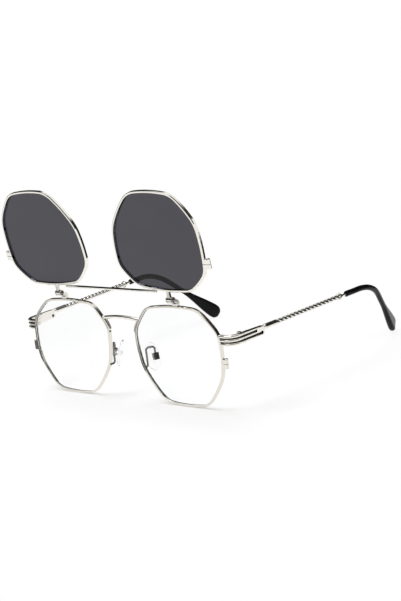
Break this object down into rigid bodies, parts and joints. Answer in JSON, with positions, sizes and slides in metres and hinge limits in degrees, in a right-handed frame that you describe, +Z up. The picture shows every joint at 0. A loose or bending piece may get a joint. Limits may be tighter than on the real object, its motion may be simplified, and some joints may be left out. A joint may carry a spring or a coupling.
{
  "type": "flip up sunglasses",
  "caption": "Octagonal metal glasses with clear lenses, a tinted front that flips up on two small hinges, twisted wire temples and black tips.",
  "frame": {"origin": "centre of the bounding box at the surface the glasses stand on, temples open and tinted front up", "axes": "+X to the right as seen from in front, +Y back along the temples, +Z up"},
  "size_m": [0.1472, 0.1552, 0.104],
  "materials": {
    "polished_silver": "polished silver plating",
    "screw_steel": "fine turned steel",
    "clear_lens": "clear optical plastic",
    "tinted_lens": "dark grey tinted optical plastic",
    "black_tip": "polished black acetate",
    "clear_pad": "clear soft silicone"
  },
  "bodies": {
    "front_frame": {"bridge": "polished_silver", "clear_lens_left": "clear_lens", "clear_lens_right": "clear_lens", "end_piece_left": "polished_silver", "end_piece_right": "polished_silver", "flip_bracket_left": "polished_silver", "flip_bracket_right": "polished_silver", "flip_hinge_pins": "screw_steel", "hinge_front_leaf_left": "polished_silver", "hinge_front_leaf_right": "polished_silver", "nose_pad_arm_left": "polished_silver", "nose_pad_arm_right": "polished_silver", "nose_pad_box_left": "polished_silver", "nose_pad_box_right": "polished_silver", "nose_pad_screws": "screw_steel", "rim_left": "polished_silver", "rim_lock_lower_left": "polished_silver", "rim_lock_lower_right": "polished_silver", "rim_lock_screws": "screw_steel", "rim_lock_upper_left": "polished_silver", "rim_lock_upper_right": "polished_silver", "rim_right": "polished_silver", "temple_hinge_screws": "screw_steel"},
    "flip_front": {"flip_bar": "polished_silver", "flip_knuckle_left": "polished_silver", "flip_knuckle_right": "polished_silver", "flip_lock_lower_left": "polished_silver", "flip_lock_lower_right": "polished_silver", "flip_lock_screws": "screw_steel", "flip_lock_upper_left": "polished_silver", "flip_lock_upper_right": "polished_silver", "flip_rim_left": "polished_silver", "flip_rim_right": "polished_silver", "sun_lens_left": "tinted_lens", "sun_lens_right": "tinted_lens"},
    "left_temple": {"hinge_rear_leaf_left": "polished_silver", "temple_plate_left": "polished_silver", "temple_neck_left": "polished_silver", "temple_twist_left": "polished_silver", "temple_collar_left": "polished_silver", "temple_core_left": "polished_silver", "temple_tip_left": "black_tip"},
    "left_pad": {"nose_pad_left": "clear_pad"},
    "right_temple": {"hinge_rear_leaf_right": "polished_silver", "temple_plate_right": "polished_silver", "temple_neck_right": "polished_silver", "temple_twist_right": "polished_silver", "temple_collar_right": "polished_silver", "temple_core_right": "polished_silver", "temple_tip_right": "black_tip"},
    "right_pad": {"nose_pad_right": "clear_pad"}
  },
  "joints": [
    {"name": "flip_hinge", "type": "hinge", "parent": "front_frame", "child": "flip_front", "pos_m": [0, -0.06801, 0.05163], "axis": [1, 0, 0], "range_deg": [0, 171]},
    {"name": "left_temple_hinge", "type": "hinge", "parent": "front_frame", "child": "left_temple", "pos_m": [-0.06516, -0.05762, 0.03334], "axis": [0, 0, -1], "range_deg": [0, 90]},
    {"name": "right_temple_hinge", "type": "hinge", "parent": "front_frame", "child": "right_temple", "pos_m": [0.06516, -0.05762, 0.03334], "axis": [0, 0, 1], "range_deg": [0, 72]},
    {"name": "left_pad_rock", "type": "hinge", "parent": "front_frame", "child": "left_pad", "pos_m": [-0.01309, -0.05813, 0.02058], "axis": [-0.4226, 0.9063, 0], "range_deg": [-8, 8]},
    {"name": "right_pad_rock", "type": "hinge", "parent": "front_frame", "child": "right_pad", "pos_m": [0.01309, -0.05813, 0.02058], "axis": [0.4226, 0.9063, 0], "range_deg": [-8, 8]}
  ]
}
